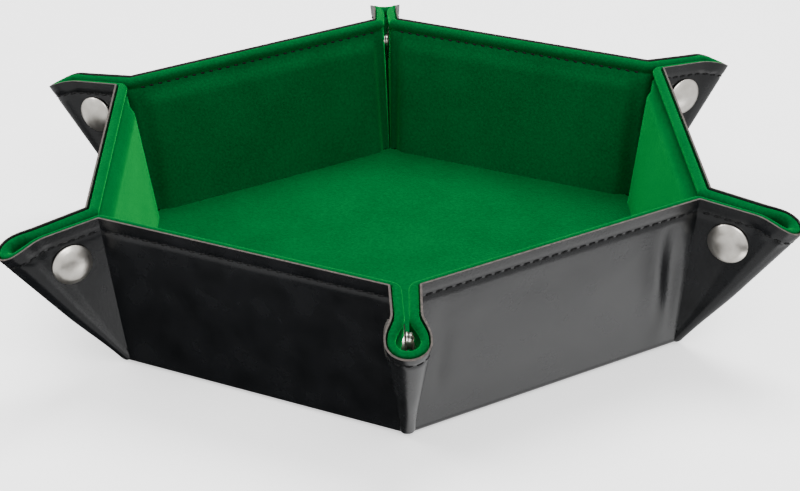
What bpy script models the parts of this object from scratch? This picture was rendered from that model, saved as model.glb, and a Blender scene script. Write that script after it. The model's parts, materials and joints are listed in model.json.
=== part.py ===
"""Folding hexagonal dice tray, standing with its six corners pinched and snapped.

Every panel is drawn where it lies when the tray is flat, outer leather face down at
z = 0, and is then carried to its standing place by the empties on its fold lines.
Lengths are in metres and angles in radians. +Z is up, and two corners lie on the Y axis.
"""

from math import cos, pi, radians, sin, tan

import bmesh
import bpy
from mathutils import Matrix, Vector

MM = 0.001

# Overall sizes
FLOOR_CORNER_RADIUS = 97 * MM  # centre to an outer bottom corner
WALL_LENGTH = 49.3 * MM  # bottom fold to rim, along the wall
WALL_LEAN = radians(8.2)  # away from upright
SHEET_CORNER_RADIUS = 11 * MM  # of the flat sheet's rounded corners

# Layers
LEATHER_THICKNESS = 1.0 * MM
BOARD_THICKNESS = 1.5 * MM
LINING_THICKNESS = 2.0 * MM
CLEARANCE = 0.3 * MM  # between any two pieces that touch
OPEN_CREASE_CLEARANCE = 1.4 * MM  # from flap b to the next wall's crease, where it swings by
BOTTOM_FOLD_HEIGHT = 3.0 * MM  # of the line that a wall turns about
BOARD_RIM_MARGIN = 7 * MM  # sewing allowance between a wall's board and its rim
BOARD_SIDE_MARGIN = 2 * MM

# A pinched corner's half widths, over the leather
PINCH_AT_FLOOR = 2.2 * MM
PINCH_AT_CREASE = 4.6 * MM  # at the rim, where a wall and its gusset meet
PINCH_AT_TIP = 4.1 * MM  # at the rim, on the outer fold
GUSSET_TOE = 2.5 * MM  # cut away from a gusset's lowest point, over the floor's corner

# Snaps
SNAP_ALONG_FOLD = 38.3 * MM  # from the floor's corner
SNAP_FROM_FOLD = 9.6 * MM
CAP_RADIUS = 6.25 * MM
CAP_DOME = 1.7 * MM
CAP_RIM = 0.5 * MM
POST_RADIUS = 1.6 * MM
SOCKET_RADIUS = 5.2 * MM
SOCKET_FLOOR = 0.6 * MM
STUD_RADIUS = 5.0 * MM
STUD_FLANGE = 0.9 * MM
NUB_RADIUS = 2.5 * MM
NUB_REACH = 0.8 * MM  # how far a stud enters its socket

# How finely the shapes are drawn
SNAP_SIDES = 16
DOME_STEPS = 4
CORNER_STEPS = 5
SHARP_EDGE = radians(40)
WELD_DISTANCE = MM / 1000
HINGE_MARK = 10 * MM  # drawn size of the empty on a fold

SIDES = 6
HALF_SECTOR = pi / SIDES
FOLD_ANGLE = pi / 2 - WALL_LEAN  # how far a wall turns from standing to flat
FOLD_APOTHEM = FLOOR_CORNER_RADIUS * cos(HALF_SECTOR) - BOTTOM_FOLD_HEIGHT * tan(FOLD_ANGLE / 2)
FOLD_CORNER = Vector((FOLD_APOTHEM / cos(HALF_SECTOR), 0, BOTTOM_FOLD_HEIGHT))
RIM_APOTHEM = FOLD_APOTHEM + WALL_LENGTH  # of the flat sheet
BOARD_LOW = LEATHER_THICKNESS + CLEARANCE
BOARD_HIGH = BOARD_LOW + BOARD_THICKNESS
LINING_LOW = BOARD_HIGH + CLEARANCE
LINING_HIGH = LINING_LOW + LINING_THICKNESS
# A standing wall's lining ends just over the floor's lining
LINING_RISE = LINING_HIGH + CLEARANCE - BOTTOM_FOLD_HEIGHT
LINING_DROP = (LINING_LOW - BOTTOM_FOLD_HEIGHT) * cos(FOLD_ANGLE)
LINING_SETBACK = (LINING_RISE - LINING_DROP) / sin(FOLD_ANGLE)
GUSSET_LINING_HIGH = BOARD_LOW + LINING_THICKNESS
CUTTER_REACH = 2 * MM

ORIGIN = Vector((0, 0, 0))
UP = Vector((0, 0, 1))
MIDDLE_PLANE = (ORIGIN, Vector((0, 1, 0)))  # a corner's own upright mirror plane
MIRROR = Matrix.Diagonal((1, -1, 1, 1))

# The wall before a corner, seen from that corner's frame: +X runs out through the corner
WALL_OUT = Vector((cos(HALF_SECTOR), -sin(HALF_SECTOR), 0))
WALL_ALONG = UP.cross(WALL_OUT)
WALL_UP = WALL_OUT * cos(FOLD_ANGLE) + UP * sin(FOLD_ANGLE)
WALL_FACE = WALL_OUT * sin(FOLD_ANGLE) - UP * cos(FOLD_ANGLE)


def finish(name, color, roughness, metallic=0.0):
    material = bpy.data.materials.new(name)
    material.use_nodes = True
    material.diffuse_color = (*color, 1)
    shader = material.node_tree.nodes["Principled BSDF"]
    shader.inputs["Base Color"].default_value = (*color, 1)
    shader.inputs["Roughness"].default_value = roughness
    shader.inputs["Metallic"].default_value = metallic
    return material


# Geometry helpers


def turned(point, axis, angle):
    """The matrix that turns space about the line through a point."""
    shift = Matrix.Translation(point)
    return shift @ Matrix.Rotation(angle, 4, axis) @ shift.inverted()


def meeting_point(*planes):
    """The point that three planes share, each given as a point on it and its normal."""
    normals = Matrix([normal for _, normal in planes])
    return normals.inverted() @ Vector([point.dot(normal) for point, normal in planes])


def moved(matrix, plane):
    point, normal = plane
    return matrix @ point, matrix.to_3x3() @ normal


def clipped(outline, plane, height=0.0, margin=CLEARANCE / 2):
    """A convex outline at this height, cut back to the inner side of a plane, margin clear of it."""
    point, normal = plane
    across = Vector((normal.x, normal.y))
    reach = (point.dot(normal) - normal.z * height - margin) / across.length
    across.normalize()
    kept = []
    for here, after in zip(outline, outline[1:] + outline[:1]):
        room, room_after = reach - here.dot(across), reach - after.dot(across)
        if room >= 0:
            kept.append(here)
        if (room >= 0) != (room_after >= 0):
            kept.append(here.lerp(after, room / (room - room_after)))
    return kept


def sheet_corner():
    """The flat sheet around one rounded corner, out to the middles of its two sides."""
    center = (RIM_APOTHEM - SHEET_CORNER_RADIUS) / cos(HALF_SECTOR)
    outline = [Vector((0, 0)), RIM_APOTHEM * Vector((cos(HALF_SECTOR), -sin(HALF_SECTOR)))]
    for step in range(CORNER_STEPS * 2 + 1):
        angle = HALF_SECTOR * (step / CORNER_STEPS - 1)
        arc = SHEET_CORNER_RADIUS * Vector((cos(angle), sin(angle)))
        outline.append(Vector((center, 0)) + arc)
    outline.append(RIM_APOTHEM * Vector((cos(HALF_SECTOR), sin(HALF_SECTOR))))
    return outline


# Scene helpers


def placed(obj, parent, world):
    bpy.context.collection.objects.link(obj)
    obj.parent = parent
    obj.matrix_world = world
    bpy.context.view_layer.update()
    return obj


def hinge(name, parent, point, axis):
    """An empty on a fold line, with its own Z along the line's axis."""
    empty = bpy.data.objects.new(name, None)
    empty.empty_display_size = HINGE_MARK
    facing = UP.rotation_difference(axis).to_matrix().to_4x4()
    return placed(empty, parent, Matrix.Translation(point) @ facing)


def mesh_object(name, bm, material, parent, world):
    bmesh.ops.recalc_face_normals(bm, faces=bm.faces)
    mesh = bpy.data.meshes.new(name)
    bm.to_mesh(mesh)
    bm.free()
    mesh.materials.append(material)
    return placed(bpy.data.objects.new(name, mesh), parent, world)


def plate(name, outline, low, high, material, parent, world):
    """A flat outline given a thickness, from low to high above the flat tray's underside."""
    bm = bmesh.new()
    face = bm.faces.new([bm.verts.new((point.x, point.y, low)) for point in outline])
    grown = bmesh.ops.extrude_face_region(bm, geom=[face])["geom"]
    top = [item for item in grown if isinstance(item, bmesh.types.BMVert)]
    bmesh.ops.translate(bm, verts=top, vec=(0, 0, high - low))
    return mesh_object(name, bm, material, parent, world)


def turned_solid(name, profile, material, parent, world):
    """A solid of revolution from (radius, height) points, both ends on its axis."""
    bm = bmesh.new()
    verts = [bm.verts.new((radius, 0, height)) for radius, height in profile]
    edges = [bm.edges.new(pair) for pair in zip(verts, verts[1:])]
    geom = verts + edges
    bmesh.ops.spin(
        bm, geom=geom, cent=ORIGIN, axis=UP, angle=2 * pi, steps=SNAP_SIDES, use_duplicate=False
    )
    bmesh.ops.remove_doubles(bm, verts=bm.verts, dist=WELD_DISTANCE)
    obj = mesh_object(name, bm, material, parent, world)
    obj.data.shade_smooth()
    obj.data.set_sharp_from_angle(angle=SHARP_EDGE)
    return obj


def bore(obj, center, radius, parent, world):
    """Cuts a round hole through a plate."""
    name = f"{obj.name}_hole"
    mesh = bpy.data.meshes.new(name)
    bm = bmesh.new()
    depth = 2 * (LINING_HIGH + CUTTER_REACH)
    bmesh.ops.create_cone(
        bm, cap_ends=True, segments=SNAP_SIDES, radius1=radius, radius2=radius, depth=depth
    )
    bmesh.ops.translate(bm, verts=bm.verts, vec=(*center, 0))
    bm.to_mesh(mesh)
    bm.free()
    cutter = placed(bpy.data.objects.new(name, mesh), parent, world)
    cutter.hide_render = True
    cutter.display_type = "WIRE"
    cut = obj.modifiers.new("hole", "BOOLEAN")
    cut.operation = "DIFFERENCE"
    cut.object = cutter


# Folds, in the frame of the corner that a wall runs into: its plane of symmetry is Y = 0


def gusset_face():
    """A pinched gusset's leather face, through its bottom, the rim's crease and the tip."""
    crease_way = Vector((cos(FOLD_ANGLE) / cos(HALF_SECTOR), 0, sin(FOLD_ANGLE))).normalized()
    gusset_angle = HALF_SECTOR - WALL_UP.angle(crease_way)
    tip_way = Matrix.Rotation(gusset_angle, 3, MIDDLE_PLANE[1]) @ crease_way
    crease = crease_way * WALL_LENGTH / crease_way.dot(WALL_UP)
    tip = tip_way * WALL_LENGTH / cos(HALF_SECTOR)
    bottom = Vector((0, -PINCH_AT_FLOOR, 0))
    crease.y = -PINCH_AT_CREASE
    tip.y = -PINCH_AT_TIP
    return FOLD_CORNER + bottom, (tip - bottom).cross(crease - bottom).normalized()


WALL_FLATTENING = turned(FOLD_CORNER, WALL_ALONG, FOLD_ANGLE)
FLOOR_POINT = (FOLD_CORNER, UP)
WALL_FACE_PLANE = (FOLD_CORNER + WALL_FACE * BOTTOM_FOLD_HEIGHT, WALL_FACE)
GUSSET_FACE_PLANE = gusset_face()
CREASE_POINT = meeting_point(WALL_FACE_PLANE, GUSSET_FACE_PLANE, FLOOR_POINT)
CREASE_AXIS = GUSSET_FACE_PLANE[1].cross(WALL_FACE).normalized()
CREASE_ANGLE = GUSSET_FACE_PLANE[1].angle(WALL_FACE)
GUSSET_FLATTENING = WALL_FLATTENING @ turned(CREASE_POINT, CREASE_AXIS, CREASE_ANGLE)
FOLDING = GUSSET_FLATTENING.inverted() @ MIRROR @ GUSSET_FLATTENING @ MIRROR
FOLD_AXIS = FOLDING.to_quaternion().axis
FOLD_POINT = meeting_point(
    MIDDLE_PLANE, moved(GUSSET_FLATTENING.inverted(), MIDDLE_PLANE), FLOOR_POINT
)

# The crease on the flat sheet, as an upright plane that faces the wall
FLAT_CREASE_WAY = GUSSET_FLATTENING.to_3x3() @ CREASE_AXIS
FLAT_CREASE = (GUSSET_FLATTENING @ CREASE_POINT, FLAT_CREASE_WAY.cross(UP))


def facing_back(plane):
    point, normal = plane
    return point, -normal


# Sub-parts


def hexagon(apothem):
    radius = apothem / cos(HALF_SECTOR)
    turns = [HALF_SECTOR * (2 * corner + 1) for corner in range(SIDES)]
    return [radius * Vector((cos(angle), sin(angle))) for angle in turns]


def make_floor(floor):
    reach = FOLD_APOTHEM - CLEARANCE / 2
    still = Matrix.Identity(4)
    plate("floor_leather", hexagon(reach), 0, LEATHER_THICKNESS, LEATHER, floor, still)
    plate("floor_board", hexagon(reach), BOARD_LOW, BOARD_HIGH, BOARD, floor, still)
    plate("floor_lining", hexagon(reach), LINING_LOW, LINING_HIGH, LINING, floor, still)


def wall_outline(setback, rim_margin=0.0, side_margin=CLEARANCE / 2, clear_height=None):
    """A flat wall between its creases, its bottom fold and its rim; +X runs out."""
    low, high = FOLD_APOTHEM + setback, RIM_APOTHEM - rim_margin
    outline = [Vector(point) for point in ((low, -high), (high, -high), (high, high), (low, high))]
    to_wall = Matrix.Rotation(HALF_SECTOR, 4, "Z")
    ends = [(moved(to_wall, facing_back(FLAT_CREASE)), 0.0, side_margin)]
    if clear_height:
        neighbour = moved(to_wall @ WALL_FLATTENING, MIDDLE_PLANE)
        ends.append((neighbour, clear_height, CLEARANCE / 2))
    for plane, height, margin in ends:
        outline = clipped(outline, plane, height, margin)
        outline = clipped(outline, moved(MIRROR, plane), height, margin)
    return outline


def make_wall(number, floor):
    """A wall's leather, board and lining on its bottom fold; returns the fold's empty."""
    facing = Matrix.Rotation(2 * HALF_SECTOR * (number - 1), 4, "Z")
    fold = Vector((FOLD_APOTHEM, 0, BOTTOM_FOLD_HEIGHT))
    along = Vector((0, 1, 0))
    empty = hinge(f"wall_{number}_fold", floor, facing @ fold, facing @ along)
    standing = facing @ turned(fold, along, -FOLD_ANGLE)
    name = f"wall_{number}"
    layers = (
        ("leather", wall_outline(CLEARANCE / 2), 0, LEATHER_THICKNESS, LEATHER),
        (
            "board",
            wall_outline(CLEARANCE / 2, BOARD_RIM_MARGIN, BOARD_SIDE_MARGIN),
            BOARD_LOW,
            BOARD_HIGH,
            BOARD,
        ),
        (
            "lining",
            wall_outline(LINING_SETBACK, clear_height=LINING_HIGH),
            LINING_LOW,
            LINING_HIGH,
            LINING,
        ),
    )
    for layer, outline, low, high, material in layers:
        plate(f"{name}_{layer}", outline, low, high, material, empty, standing)
    return empty


def gusset_outline(crease_clearance, lined):
    """A flat gusset flap between its crease, the outer fold and the sheet's rounded corner."""
    toe = FOLD_CORNER + Vector((GUSSET_TOE, 0, 0))
    outline = clipped(sheet_corner(), FLAT_CREASE, margin=crease_clearance)
    outline = clipped(outline, MIDDLE_PLANE)
    outline = clipped(outline, (toe, Vector((-1, 0, 0))), margin=0)
    if lined:
        pinched = moved(GUSSET_FLATTENING, MIDDLE_PLANE)
        outline = clipped(outline, pinched, GUSSET_LINING_HIGH)
    return outline


def snap_half(name, inner_profile, center, parent, world):
    """A domed cap outside the leather, its post through it and a working half inside."""
    rim = -(CLEARANCE + CAP_RIM)
    dome = []
    for step in range(DOME_STEPS + 1):
        angle = pi / 2 * step / DOME_STEPS
        dome.append((CAP_RADIUS * sin(angle), rim - CAP_DOME * cos(angle)))
    shank = [(CAP_RADIUS, -CLEARANCE), (POST_RADIUS, -CLEARANCE), (POST_RADIUS, BOARD_LOW)]
    at_center = world @ Matrix.Translation((*center, 0))
    turned_solid(name, dome + shank + inner_profile, NICKEL, parent, at_center)


def socket_profile(middle):
    top = middle - CLEARANCE / 2
    bore_radius = NUB_RADIUS + CLEARANCE
    bottom = BOARD_LOW + SOCKET_FLOOR
    return [
        (SOCKET_RADIUS, BOARD_LOW),
        (SOCKET_RADIUS, top),
        (bore_radius, top),
        (bore_radius, bottom),
        (0, bottom),
    ]


def stud_profile(middle):
    flange = BOARD_LOW + STUD_FLANGE
    return [
        (STUD_RADIUS, BOARD_LOW),
        (STUD_RADIUS, flange),
        (NUB_RADIUS, flange),
        (NUB_RADIUS, middle + NUB_REACH),
        (0, middle + NUB_REACH),
    ]


def make_gusset(number, wall):
    """The two flaps of one corner: flap a hangs on its wall, and flap b on flap a's fold."""
    facing = Matrix.Rotation(HALF_SECTOR * (2 * number - 1), 4, "Z")
    turning = facing.to_3x3()
    crease = hinge(f"gusset_{number}_a_crease", wall, facing @ CREASE_POINT, turning @ CREASE_AXIS)
    fold = hinge(f"gusset_{number}_b_fold", crease, facing @ FOLD_POINT, turning @ FOLD_AXIS)
    pinching = GUSSET_FLATTENING.inverted()
    snap_center = Vector((FOLD_CORNER.x + SNAP_ALONG_FOLD, -SNAP_FROM_FOLD))
    outside = pinching @ snap_center.to_3d()
    middle = outside.y / GUSSET_FACE_PLANE[1].y  # from the leather's face to the middle plane
    layers = (
        ("leather", 0, LEATHER_THICKNESS, LEATHER, POST_RADIUS),
        ("lining", BOARD_LOW, GUSSET_LINING_HIGH, LINING, SOCKET_RADIUS),
    )
    flap_a = (crease, pinching, CLEARANCE / 2, 1)
    flap_b = (fold, MIRROR @ pinching @ MIRROR, OPEN_CREASE_CLEARANCE, -1)
    snap_a = ("socket", socket_profile(middle))
    snap_b = ("stud", stud_profile(middle))
    for side, flap, snap in (("a", flap_a, snap_a), ("b", flap_b, snap_b)):
        empty, pinched, crease_clearance, hand = flap
        standing = facing @ pinched
        center = Vector((snap_center.x, snap_center.y * hand))
        for layer, low, high, material, inner in layers:
            corners = gusset_outline(crease_clearance, layer == "lining")
            outline = [Vector((corner.x, corner.y * hand)) for corner in corners]
            name = f"gusset_{number}_{side}_{layer}"
            flap_plate = plate(name, outline, low, high, material, empty, standing)
            bore(flap_plate, center, inner + CLEARANCE, empty, standing)
        half, profile = snap
        snap_half(f"snap_{number}_{half}", profile, center, empty, standing)


for old in list(bpy.data.objects):
    bpy.data.objects.remove(old, do_unlink=True)

LEATHER = finish("black_leather", (0.012, 0.012, 0.013), 0.38)
BOARD = finish("grey_board", (0.30, 0.27, 0.22), 0.9)
LINING = finish("green_velvet", (0.0, 0.19, 0.045), 0.95)
NICKEL = finish("nickel_plate", (0.72, 0.71, 0.68), 0.25, 1.0)

tray = hinge("tray_floor", None, ORIGIN, UP)
make_floor(tray)
for wall_number in range(1, SIDES + 1):
    make_gusset(wall_number, make_wall(wall_number, tray))
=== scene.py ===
# %% [markdown]
# # A folding dice tray in leather and velvet
# The real tray is one flat hexagon: black coated leather outside, green velvet inside, and stiff
# grey board between them, in the floor and in each wall. The board stops short of the fold lines,
# so the sheet hinges there. Each corner is pinched and held by a press snap, which stands the walls
# up. This lesson dresses the measured frame with those soft layers, their stitching and the snaps.

import functools
import json
from math import cos, pi, radians, sin, sqrt, tan

import bpy
import numpy as np
from mathutils import Matrix, Vector


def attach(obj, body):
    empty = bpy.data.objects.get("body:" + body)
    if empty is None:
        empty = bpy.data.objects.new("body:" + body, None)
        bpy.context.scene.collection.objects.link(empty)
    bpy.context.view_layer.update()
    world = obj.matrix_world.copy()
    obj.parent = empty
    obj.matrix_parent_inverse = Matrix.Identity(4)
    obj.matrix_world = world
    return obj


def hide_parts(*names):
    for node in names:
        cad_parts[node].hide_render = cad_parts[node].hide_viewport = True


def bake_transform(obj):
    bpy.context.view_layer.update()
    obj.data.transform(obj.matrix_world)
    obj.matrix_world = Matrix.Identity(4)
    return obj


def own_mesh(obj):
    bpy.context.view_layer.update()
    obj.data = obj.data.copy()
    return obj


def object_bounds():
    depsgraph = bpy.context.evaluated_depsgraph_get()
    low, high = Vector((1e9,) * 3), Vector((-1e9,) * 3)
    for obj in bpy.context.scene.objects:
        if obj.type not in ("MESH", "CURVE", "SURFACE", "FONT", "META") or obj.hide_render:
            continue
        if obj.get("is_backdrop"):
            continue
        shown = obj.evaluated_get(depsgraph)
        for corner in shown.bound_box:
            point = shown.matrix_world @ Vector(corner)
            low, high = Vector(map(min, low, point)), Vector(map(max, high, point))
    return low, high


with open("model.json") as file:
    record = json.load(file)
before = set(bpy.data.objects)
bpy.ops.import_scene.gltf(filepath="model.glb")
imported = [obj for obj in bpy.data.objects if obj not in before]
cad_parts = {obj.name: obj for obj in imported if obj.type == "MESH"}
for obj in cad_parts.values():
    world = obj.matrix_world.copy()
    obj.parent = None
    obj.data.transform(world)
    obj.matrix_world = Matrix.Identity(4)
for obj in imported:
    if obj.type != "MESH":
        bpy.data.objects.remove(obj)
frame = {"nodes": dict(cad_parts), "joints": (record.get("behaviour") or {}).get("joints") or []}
cad_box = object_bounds()
MM = 0.001

# %% [markdown]
# ## The sheet, laid flat
# Every layer is easiest to draw where its maker cuts it: on the flat sheet, leather face down at
# height 0. The fold lines then carry it to its standing place, turned back by each fold's whole
# range. So the drawing needs only the folds' own lines and angles, which the frame gives.

# %% Fold matrices
SIDES = 6
SECTOR = 2 * pi / SIDES
folds = {joint["name"]: joint for joint in frame["joints"]}


def fold_angle(name):
    return radians(folds[name]["range_deg"][1])


def turned(name, share):
    """The matrix that turns space about a fold by a share of its range; 1 lays it flat."""
    to_line = Matrix.Translation(folds[name]["pos_m"])
    turn = Matrix.Rotation(share * fold_angle(name), 4, Vector(folds[name]["axis"]))
    return to_line @ turn @ to_line.inverted()


def each(make, *kind):
    """What this makes for every wall or corner, by number."""
    return {number: make(number, *kind) for number in range(1, SIDES + 1)}


def facing_wall(number):
    return Matrix.Rotation(SECTOR * (number - 1), 4, "Z")


def facing_corner(number):
    return Matrix.Rotation(SECTOR * (number - 0.5), 4, "Z")


def standing_wall(number):
    """From a wall's own flat drawing, +X out through its middle, to where it stands."""
    return turned(f"wall_{number}_fold", -1) @ facing_wall(number)


def standing_corner(number):
    """From a corner's flat drawing, +X out through the corner, to where its first flap stands."""
    crease = turned(f"gusset_{number}_a_crease", -1)
    return crease @ turned(f"wall_{number}_fold", -1) @ facing_corner(number)


def carried(matrix, points):
    """An array of points, whatever its shape, moved by a matrix."""
    grid = np.array(matrix)
    return np.asarray(points) @ grid[:3, :3].T + grid[:3, 3]


print("wall fold", folds["wall_1_fold"]["range_deg"][1], "degrees")

# %% Measures of the flat sheet
hinge = Vector(folds["wall_1_fold"]["pos_m"])
FOLD_APOTHEM, FOLD_HEIGHT = hinge.x, hinge.z  # from the middle to a wall's bottom fold
flat_leather = carried(
    standing_wall(1).inverted(),
    [vertex.co for vertex in frame["nodes"]["wall_1_leather"].data.vertices],
)
RIM_APOTHEM = flat_leather[:, 0].max()  # from the middle to the sheet's edge
FOLD_CORNER = FOLD_APOTHEM / cos(SECTOR / 2)
SHEET_CORNER_RADIUS = 11 * MM
CORNER_CENTER = (RIM_APOTHEM - SHEET_CORNER_RADIUS) / cos(SECTOR / 2)
LEATHER = 1.0 * MM
CUT_EDGE = 0.6 * MM  # the leather is pared thinner where it is cut
PINCHED_LINING_TOP = 3.3 * MM  # height of the velvet where there is no board under it
BOARDED_LINING_TOP = 5.1 * MM

to_flat_corner = standing_corner(1).inverted()
to_flat_wall_end = facing_corner(1).inverted() @ turned("wall_1_fold", 1)
crease_joint, tip_joint = folds["gusset_1_a_crease"], folds["gusset_1_b_fold"]
CREASE_START = to_flat_wall_end @ Vector(crease_joint["pos_m"])
CREASE_WAY = to_flat_wall_end.to_3x3() @ Vector(crease_joint["axis"])
TIP_START = to_flat_corner @ Vector(tip_joint["pos_m"])
TIP_WAY = to_flat_corner.to_3x3() @ Vector(tip_joint["axis"])
print("flat sheet", round(2 * RIM_APOTHEM / MM, 1), "mm across; crease from", CREASE_START / MM)
print("tip fold", TIP_START / MM, TIP_WAY)
TO_WALL = facing_wall(1).inverted() @ facing_corner(1)  # from a corner's drawing to its wall's


def wall_half(x):
    """Half a wall panel's width, up to its crease, at a distance x out from the centre."""
    start, way = TO_WALL @ CREASE_START, TO_WALL.to_3x3() @ CREASE_WAY
    return start.y + (x - start.x) * way.y / way.x


def crease_side(x):
    """How far from the corner's middle line the crease lies, at a distance x from the centre."""
    return abs(CREASE_START.y + (x - CREASE_START.x) * CREASE_WAY.y / CREASE_WAY.x)


def fold_radius(x):
    """Half the pinch's width: the height of the outer fold's line over the flat sheet."""
    return TIP_START.z + (x - TIP_START.x) * TIP_WAY.z / TIP_WAY.x


def rim_reach(side, inset):
    """How far out a corner's edge is, at this distance from its middle line, inset by so much."""
    side = np.abs(side)
    radius = SHEET_CORNER_RADIUS - inset
    straight = (RIM_APOTHEM - inset - side * sin(SECTOR / 2)) / cos(SECTOR / 2)
    if radius <= 0:
        return straight
    arc = CORNER_CENTER + np.sqrt(np.maximum(radius**2 - side**2, 0))
    return np.where(side < radius * sin(SECTOR / 2), arc, straight)


print("pinch half width", [round(fold_radius(x) / MM, 2) for x in (FOLD_CORNER, 0.149)], "mm")

# %% [markdown]
# ## Finishes
# A material here is a small graph of nodes. Colours are written as the usual sRGB hex values, and
# the shader wants linear light, so one function converts them. Another adds a node, its settings
# and its links. Patterns are sized in real millimetres: a texture's scale is one over its period.

# %% Colour and node helpers


def linear(hex_color):
    """An sRGB hex value as linear red, green, blue and alpha."""
    parts = [int(hex_color[i : i + 2], 16) / 255 for i in (1, 3, 5)]
    return (*[c / 12.92 if c <= 0.04045 else ((c + 0.055) / 1.055) ** 2.4 for c in parts], 1)


def per_mm(period):
    """The texture scale that repeats about once in so many millimetres."""
    return 1 / (period * MM)


def add(tree, kind, inputs=None, **settings):
    """A node of this kind: its settings, then its inputs, each a value or another's socket."""
    node = tree.nodes.new(kind)
    for key, value in settings.items():
        setattr(node, key, value)
    for key, value in (inputs or {}).items():
        if isinstance(value, bpy.types.NodeSocket):
            tree.links.new(value, node.inputs[key])
        else:
            node.inputs[key].default_value = value
    return node


def finish(name, **values):
    """A new material, its nodes, its Principled shader with plain values on the shader's own
    sockets, and the object's own coordinates, which every pattern is laid by."""
    material = bpy.data.materials.new(name)
    material.use_nodes = True
    tree = material.node_tree
    shader = tree.nodes["Principled BSDF"]
    for key, value in values.items():
        shader.inputs[key.replace("_", " ")].default_value = value
    return material, tree, shader, add(tree, "ShaderNodeTexCoord").outputs["Object"]


def drive(tree, shader, **sockets):
    """Patterns linked to the shader's sockets."""
    for key, socket in sockets.items():
        tree.links.new(socket, shader.inputs[key.replace("_", " ")])


def mixed(tree, share, *colors):
    """A colour between two, by a texture's value. Noise seldom leaves the middle of its range."""
    ramp = add(tree, "ShaderNodeValToRGB", {"Fac": share})
    for element, position, color in zip(ramp.color_ramp.elements, (0.3, 0.7), colors):
        element.position, element.color = position, linear(color)
    return ramp.outputs["Color"]


def flecked(name, period, detail, colors, strength, depth, **values):
    """A finish of flecks in two colours, so many millimetres apart, that stand up a little."""
    material, tree, shader, place = finish(name, **values)
    noise = {"Vector": place, "Scale": per_mm(period), "Detail": detail}
    flecks = add(tree, "ShaderNodeTexNoise", noise).outputs["Fac"]
    bump = {"Strength": strength, "Distance": depth * MM, "Height": flecks}
    normal = add(tree, "ShaderNodeBump", bump).outputs["Normal"]
    drive(tree, shader, Base_Color=mixed(tree, flecks, *colors), Normal=normal)
    return material


print("white is", linear("#ffffff"))

# %% [markdown]
# ### Coated leather
# The outside is polyurethane-coated leather, pressed smooth. The coat makes it glossy: black where
# the room is dark, grey where it is bright, with long soft highlights where it bends. A pebble
# grain of about 0.8 mm breaks the highlights up a little, and slow waves a few centimetres long
# keep them from being straight. Handling leaves the gloss uneven every centimetre or so.

# %% Leather material
GRAIN, PORE, WAVE, HANDLED = 0.8, 0.25, 28, 9  # mm


def coated_leather():
    material, tree, shader, place = finish("black_coated_leather", IOR=1.5, Specular_IOR_Level=0.4)
    grain, pores, waves, wear = [
        add(tree, kind, {"Vector": place, "Scale": per_mm(period), **detail})
        for kind, period, detail in (
            ("ShaderNodeTexVoronoi", GRAIN, {}),
            ("ShaderNodeTexNoise", PORE, {"Detail": 2}),
            ("ShaderNodeTexNoise", WAVE, {"Detail": 2}),
            ("ShaderNodeTexNoise", HANDLED, {"Detail": 4}),
        )
    ]
    shine = {"Value": wear.outputs["Fac"], "To Min": 0.22, "To Max": 0.31}
    bump = {}
    for height, strength, depth in (
        (waves.outputs["Fac"], 0.35, 0.9),
        (grain.outputs["Distance"], 0.25, 0.06),
        (pores.outputs["Fac"], 0.2, 0.03),
    ):
        bump.update({"Strength": strength, "Distance": depth * MM, "Height": height})
        bump["Normal"] = add(tree, "ShaderNodeBump", bump).outputs["Normal"]
    drive(
        tree,
        shader,
        Base_Color=mixed(tree, wear.outputs["Fac"], "#050607", "#0c0d0f"),
        Roughness=add(tree, "ShaderNodeMapRange", shine).outputs["Result"],
        Normal=bump["Normal"],
    )
    return material


LEATHER_FINISH = coated_leather()
print(LEATHER_FINISH.name, "grain", GRAIN, "mm")

# %% [markdown]
# ### The cut edge
# Along the rim the leather is simply cut, so its backing shows: a thin grey-brown line, matt and a
# little uneven, between the black face and the velvet.

# %% Cut edge material
EDGE_COLORS = "#2f2927", "#4d4540"
EDGE_FINISH = flecked("cut_leather_edge", 1.2, 3, EDGE_COLORS, 0.4, 0.1, Roughness=0.85)
print(EDGE_FINISH.name)

# %% [markdown]
# ### Velvet
# The lining is a short-pile velvet. Its fibres stand up, so it looks deep and dark from straight
# in front, and bright where it turns edge-on to the eye: a dark colour under a strong sheen does
# that. Pile is far finer than a render shows, so its speckle is drawn at 0.8 mm, and a slow
# cloudiness of about 18 mm stands for the way the nap has been brushed.

# %% Velvet material
PILE, BRUSHED = 0.8, 18


def velvet():
    material, tree, shader, place = finish(
        "green_velvet",
        Roughness=0.92,
        Sheen_Weight=1.0,
        Sheen_Roughness=0.35,
        Sheen_Tint=linear("#00a448"),
        Specular_IOR_Level=0.0,
    )
    pile, brushed = [
        add(tree, "ShaderNodeTexNoise", {"Vector": place, "Scale": per_mm(period), "Detail": 3, **more})
        for period, more in ((PILE, {"Roughness": 0.7}), (BRUSHED, {}))
    ]
    shares = {"Factor": 0.3, "A": pile.outputs["Fac"], "B": brushed.outputs["Fac"]}
    both = add(tree, "ShaderNodeMix", shares).outputs["Result"]
    bump = {"Strength": 0.6, "Distance": 0.25 * MM, "Height": pile.outputs["Fac"]}
    normal = add(tree, "ShaderNodeBump", bump).outputs["Normal"]
    drive(tree, shader, Base_Color=mixed(tree, both, "#003a18", "#005226"), Normal=normal)
    return material


VELVET_FINISH = velvet()
print(VELVET_FINISH.name, "pile drawn at", PILE, "mm")

# %% [markdown]
# ### Thread, nickel and board
# The thread is waxed black polyester with a tight twist. The snaps are brass under satin nickel: a
# warm grey metal with a broad highlight. The board is grey chipboard, and it never shows.

# %% Thread, nickel and board materials
TWIST, HAZE, BRUSH = 1.131, 2.5, 0.3  # mm; the twist is drawn coarser than it is
BANDS = 20 / (2 * pi)  # bands to a unit of a wave texture at scale 1


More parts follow.
